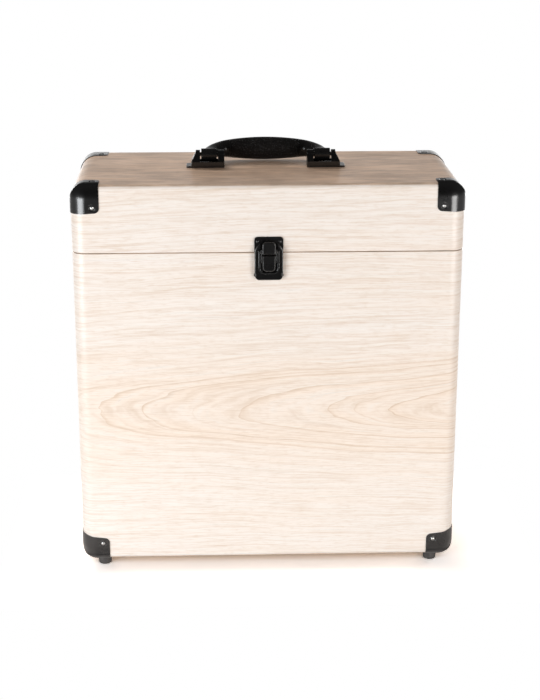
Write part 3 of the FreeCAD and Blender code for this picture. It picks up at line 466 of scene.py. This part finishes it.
def pressed_board():
    """Raw pressed board with chips and dust."""
    made, tree, shader = material("pressed_board")
    chips = tree.noise(tree.place(), 320.0, 5.0, 0.7, 0.5)
    tone = tree.mix(tree.ramp(chips, 0.3, 0.7), (0.42, 0.29, 0.18, 1.0), (0.58, 0.43, 0.29, 1.0))
    roughness = tree.ramp(chips, 0.2, 0.8, 0.75, 0.92, smooth=False)
    dress(tree, shader, tone, roughness, tree.bump(chips, 0.3, 0.0003))
    return made


def paint_pieces(looks):
    """Gives each piece of the frame the look of its slot in the record."""
    for entry in frame["record"]["subparts"]:
        piece = frame["nodes"][entry["node"]]
        look = looks[entry["material_slot"]]
        if not piece.data.materials:
            piece.data.materials.append(look)
        for index in range(len(piece.data.materials)):
            piece.data.materials[index] = look


# Floor, light and camera


def background_rays(tree):
    """A share that is 1 for the rays that see the backdrop: the camera's, and those off gloss and glass."""
    path = tree.node("ShaderNodeLightPath")
    seen = tree.math("MAXIMUM", path.outputs["Is Camera Ray"], path.outputs["Is Transmission Ray"])
    return tree.math("MAXIMUM", seen, path.outputs["Is Glossy Ray"])


def floor_material():
    """A pale matt sheet, white to the camera and to gloss apart from the shadow close to the case, which
    painted shade makes darker and warmer to the camera.
    """
    made = bpy.data.materials.new("studio_floor")
    tree = emptied(made)
    to_camera = tree.node("ShaderNodeLightPath").outputs["Is Camera Ray"]
    where = tree.place()
    x, y, _ = tree.split(where)

    # How far out from under the case a point is: at the sides, in front or behind, and whichever is more
    aside = tree.math("SUBTRACT", tree.math("ABSOLUTE", x), HALF_WIDTH)
    ahead = tree.math("SUBTRACT", tree.math("ABSOLUTE", y), HALF_DEPTH)
    clear = tree.math("MAXIMUM", aside, ahead)

    # Away from the case the sheet glows white, which the camera sees from nearer than gloss does
    far = tree.choose(to_camera, tree.ramp(clear, 0.06, 0.24), tree.ramp(clear, 0.01, 0.08))
    # Close under the case the camera sees painted shade, darker and warmer than the sheet's own shadow
    close = tree.math("MULTIPLY", tree.ramp(ahead, -0.012, -0.029), tree.ramp(aside, 0.0, -0.02))

    tone = tree.mix(to_camera, FLOOR_TONE, tree.mix(close, FLOOR_SEEN, FLOOR_SEEN_PAINTED_SHADE))
    tone = tree.mix(tree.ramp(tree.noise(where, 300.0, 3.0), 0.3, 0.7, 0.0, 0.03), tone, BLACK)
    matt = tree.node("ShaderNodeBsdfDiffuse", {"Color": tone})
    glow = tree.node("ShaderNodeEmission", {"Color": WHITE, "Strength": 1.0})
    both = tree.node("ShaderNodeMixShader", {"Fac": tree.math("MULTIPLY", far, background_rays(tree))})
    tree.feed(both.inputs[1], matt.outputs[0])
    tree.feed(both.inputs[2], glow.outputs[0])
    tree.node("ShaderNodeOutputMaterial", {"Surface": both.outputs[0]})
    return made


def floor():
    """The sheet that the case stands on, short in front, as the studio's is."""
    mesh = bpy.data.meshes.new("studio_floor")
    corners = [
        (-FLOOR_HALF_WIDTH, FLOOR_FRONT, 0), (FLOOR_HALF_WIDTH, FLOOR_FRONT, 0),
        (FLOOR_HALF_WIDTH, FLOOR_BACK, 0), (-FLOOR_HALF_WIDTH, FLOOR_BACK, 0),
    ]
    mesh.from_pydata(corners, [], [(0, 1, 2, 3)])
    mesh.materials.append(floor_material())
    piece = bpy.data.objects.new("studio_floor", mesh)
    bpy.context.scene.collection.objects.link(piece)


def world():
    """A white backdrop to the camera. Gloss sees it behind the case, and a dimmer room at the sides, in front
    and above. The rest is a warm fill."""
    made = bpy.data.worlds.new("studio")
    bpy.context.scene.world = made
    tree = emptied(made)
    _, backward, upward = tree.split(tree.node("ShaderNodeTexCoord").outputs["Generated"])
    front = tree.ramp(backward, -0.85, -0.20, 0.05, 0.30)
    back = tree.ramp(backward, 0.50, 0.90, 0.0, 0.70)
    room = tree.math("MULTIPLY", tree.math("ADD", front, back), tree.ramp(upward, 0.0, 0.26, 1.0, 0.20))
    level = tree.choose(tree.node("ShaderNodeLightPath").outputs["Is Glossy Ray"], 1.0, room)
    fill = tree.node("ShaderNodeBackground", {"Color": FILL_COLOUR, "Strength": FILL})
    white = tree.node("ShaderNodeBackground", {"Color": WHITE, "Strength": level})
    mixed = tree.node("ShaderNodeMixShader", {"Fac": background_rays(tree)})
    tree.feed(mixed.inputs[1], fill.outputs[0])
    tree.feed(mixed.inputs[2], white.outputs[0])
    tree.node("ShaderNodeOutputWorld", {"Surface": mixed.outputs[0]})


def lamp(name, place, aim_height, size, power, colour=(1.0, 1.0, 1.0), mirrored=True):
    """A soft rectangular lamp that faces the case's axis at a height. One that isn't mirrored shows in no
    gloss."""
    data = bpy.data.lights.new(name, "AREA")
    data.shape = "RECTANGLE"
    data.size, data.size_y = size
    data.energy = power
    data.color = colour
    made = bpy.data.objects.new(name, data)
    bpy.context.scene.collection.objects.link(made)
    made.visible_camera = False
    made.visible_glossy = mirrored
    made.location = place
    made.rotation_mode = "QUATERNION"
    made.rotation_quaternion = (Vector((0.0, 0.0, aim_height)) - Vector(place)).to_track_quat("-Z", "Y")


def camera():
    """A camera at the photograph's viewpoint."""
    yaw, pitch, roll = (math.radians(angle) for angle in (CAMERA_YAW, CAMERA_PITCH, CAMERA_ROLL))
    ahead = Vector((math.sin(yaw) * math.cos(pitch), math.cos(yaw) * math.cos(pitch), -math.sin(pitch)))
    level = Vector((math.cos(yaw), -math.sin(yaw), 0.0))
    upright = level.cross(ahead)
    right = math.cos(roll) * level + math.sin(roll) * upright
    up = math.cos(roll) * upright - math.sin(roll) * level
    data = bpy.data.cameras.new("photo_camera")
    data.sensor_width = CAMERA_SENSOR
    data.lens = CAMERA_LENS
    data.clip_start, data.clip_end = 0.05, 60.0
    made = bpy.data.objects.new("photo_camera", data)
    bpy.context.scene.collection.objects.link(made)
    turn = Matrix((right, up, -ahead)).transposed()
    made.matrix_world = Matrix.Translation(Vector(CAMERA_PLACE)) @ turn.to_4x4()
    bpy.context.scene.camera = made


paint_pieces({
    "wood_grain_covering": wood_grain_film(),
    "guard_black": black_metal("guard_lacquer", pressed_corner, colour=(0.0035, 0.0033, 0.0034),
                               rough=0.28, coat_rough=0.21, specular=0.60, coat=1.00, speckle=0.08,
                               worn_and_highlit=0.02),
    "hardware_black": black_metal("hardware_lacquer", stamped_edge, colour=(0.0022, 0.0020, 0.0020),
                                  rough=0.26, coat_rough=0.15, specular=0.55, coat=0.80, speckle=0.04,
                                  worn_and_highlit=0.05),
    "grip_black": grip_moulding(),
    "foot_rubber": rubber(),
    "rivet_steel": bright_steel("rivet_bright_steel", 900.0),
    "core_steel": bright_steel("core_bright_steel", 500.0),
    "lining_paper": lining(),
    "board": pressed_board(),
})

floor()
world()
lamp("soft_left", (-0.88, -0.92, 0.255), 0.20, (0.70, 0.55), 10.5, (0.97, 1.0, 1.03))
lamp("soft_right", (0.80, -0.98, 0.255), 0.20, (0.62, 0.55), 7.4, (1.0, 0.985, 0.97))
lamp("back_high", (-0.45, 1.05, 1.35), 0.30, (1.2, 0.5), 14.3, (1.0, 0.90, 0.84), mirrored=False)
lamp("back_left", (-1.30, 1.60, 0.50), 0.20, (0.6, 1.0), 10.0)
lamp("back_right", (1.30, 1.60, 0.50), 0.20, (0.6, 1.0), 10.0)
camera()
bpy.context.scene.view_settings.view_transform = "Standard"
